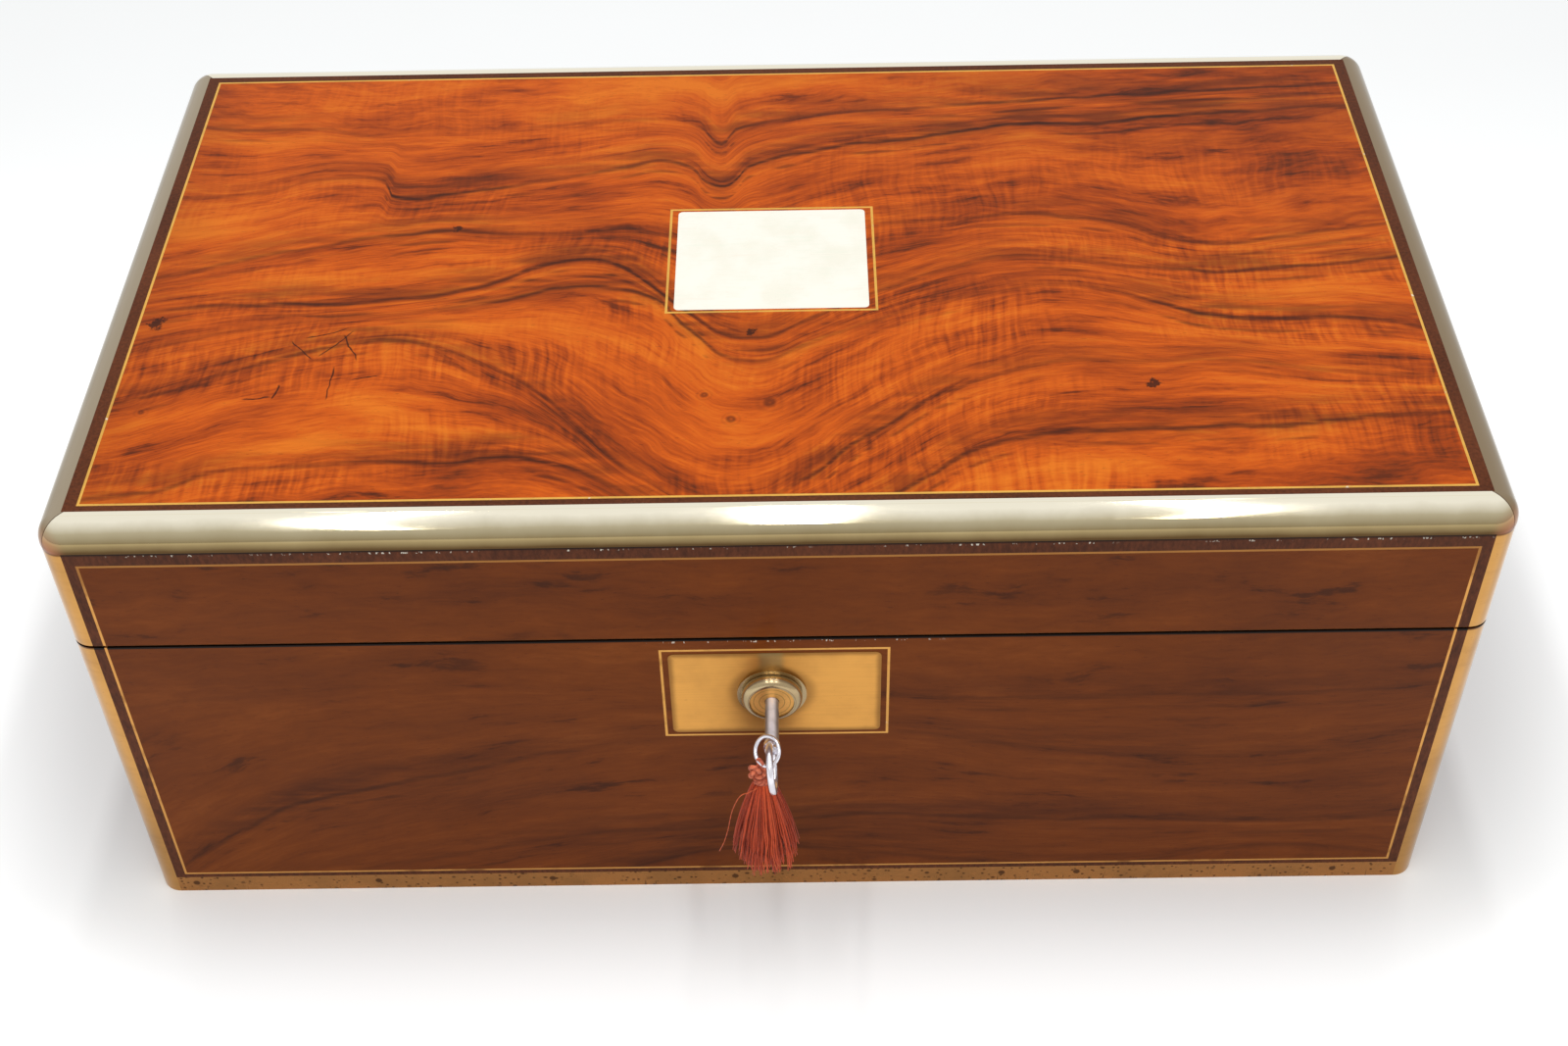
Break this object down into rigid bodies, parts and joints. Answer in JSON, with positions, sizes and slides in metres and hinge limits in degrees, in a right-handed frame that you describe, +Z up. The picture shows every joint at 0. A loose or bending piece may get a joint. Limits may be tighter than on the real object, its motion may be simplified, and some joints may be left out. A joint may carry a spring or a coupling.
{
  "type": "writing slope",
  "caption": "Brass-bound walnut writing slope with a slanted parting, hinged lid, barrel lock with key and tassel, inlaid lines, a blank name plate and fitted interior.",
  "frame": {"origin": "middle of the underside, on the surface the case stands on", "axes": "+X to the right along the case's length, -Y out of the lock front, +Z up"},
  "size_m": [0.455, 0.3029, 0.183],
  "materials": {
    "carcass_pine": "plain sawn, waxed",
    "walnut_walls": "french polished veneer",
    "walnut_figured": "figured veneer, french polished to a high gloss",
    "dark_banding": "polished dark crossbanding",
    "brass_line": "inlaid brass line, polished flush",
    "brass_edging": "polished, lightly tarnished",
    "brass_foot": "aged, pinned",
    "baize": "napped woollen cloth",
    "brass_plate": "satin, fine horizontal brushing",
    "brass_lock": "turned and polished",
    "brass_fittings": "plain polished",
    "brass_screws": "plain polished, slotted",
    "steel": "plain",
    "walnut_inner": "waxed",
    "clear_glass": "moulded, polished faces",
    "brass_inkwell": "polished",
    "green_leather": "skiver with a plain tooled border",
    "pearl_plate": "mother-of-pearl, polished flush",
    "nickel": "nickel plated, polished",
    "tassel_silk": "loose silky strands"
  },
  "bodies": {
    "base": {"base_front_board": "carcass_pine", "base_back_board": "carcass_pine", "base_left_board": "carcass_pine", "base_right_board": "carcass_pine", "base_bottom_board": "carcass_pine", "base_veneer": "walnut_walls", "base_banding": "dark_banding", "base_stringing": "brass_line", "base_corner_strips": "brass_edging", "base_foot_strips": "brass_foot", "base_baize": "baize", "escutcheon_plate": "brass_plate", "lock_case": "brass_fittings", "lock_selvedge": "brass_fittings", "lock_nozzle": "brass_lock", "lock_screws": "brass_screws", "hinge_base_leaves": "brass_fittings", "hinge_pins": "steel", "hinge_base_screws": "brass_screws", "ink_shelf": "walnut_inner", "pen_partition": "walnut_inner", "ink_dividers": "walnut_inner", "pen_tray": "walnut_inner", "inkwell_bottles": "clear_glass", "inkwell_collars": "brass_inkwell", "inkwell_caps": "brass_inkwell", "upper_board": "walnut_inner", "upper_leather": "green_leather", "upper_board_hinges": "brass_fittings", "base_ledges": "carcass_pine"},
    "lid": {"lid_top_board": "carcass_pine", "lid_front_board": "carcass_pine", "lid_back_board": "carcass_pine", "lid_left_board": "carcass_pine", "lid_right_board": "carcass_pine", "lid_veneer": "walnut_figured", "lid_banding": "dark_banding", "lid_stringing": "brass_line", "lid_corner_strips": "brass_edging", "lid_front_edging": "brass_edging", "lid_back_edging": "brass_edging", "lid_side_edgings": "brass_edging", "name_plate": "pearl_plate", "link_plate": "brass_fittings", "link_screws": "brass_screws", "hinge_lid_leaves": "brass_fittings", "hinge_lid_screws": "brass_screws", "lower_board": "walnut_inner", "lower_leather": "green_leather", "lower_board_hinges": "brass_fittings", "lid_ledges": "carcass_pine"},
    "barrel": {"lock_barrel": "brass_lock"},
    "bolt": {"lock_bolt": "steel"},
    "key": {"key": "nickel"},
    "ring": {"key_ring": "nickel"},
    "tassel": {"tassel_head": "tassel_silk", "tassel_skirt": "tassel_silk"}
  },
  "joints": [
    {"name": "lid_open", "type": "hinge", "parent": "base", "child": "lid", "pos_m": [0, 0.1301, 0.0915], "axis": [-1, 0, 0], "range_deg": [0, 180]},
    {"name": "key_turn", "type": "hinge", "parent": "base", "child": "barrel", "pos_m": [-0.0027, -0.13, 0.1051], "axis": [0, 1, 0], "range_deg": [0, 90]},
    {"name": "bolt_slide", "type": "slide", "parent": "base", "child": "bolt", "axis": [1, 0, 0], "range_m": [0, 0.0064]},
    {"name": "key_withdraw", "type": "slide", "parent": "barrel", "child": "key", "axis": [0, -1, 0], "range_m": [0, 0.04]},
    {"name": "ring_swing", "type": "hinge", "parent": "key", "child": "ring", "pos_m": [-0.00307, -0.15554, 0.10928], "axis": [-0.0755, -0.5, 0.8627], "range_deg": [-20, 5]},
    {"name": "tassel_swing", "type": "hinge", "parent": "ring", "child": "tassel", "pos_m": [-0.00642, -0.15842, 0.10376], "axis": [0.6521, -0.7581, 0], "range_deg": [-15, 10]}
  ],
  "couplings": [
    {"joint": "bolt_slide", "follows": "key_turn", "m_per_rad": 0.0040514}
  ]
}
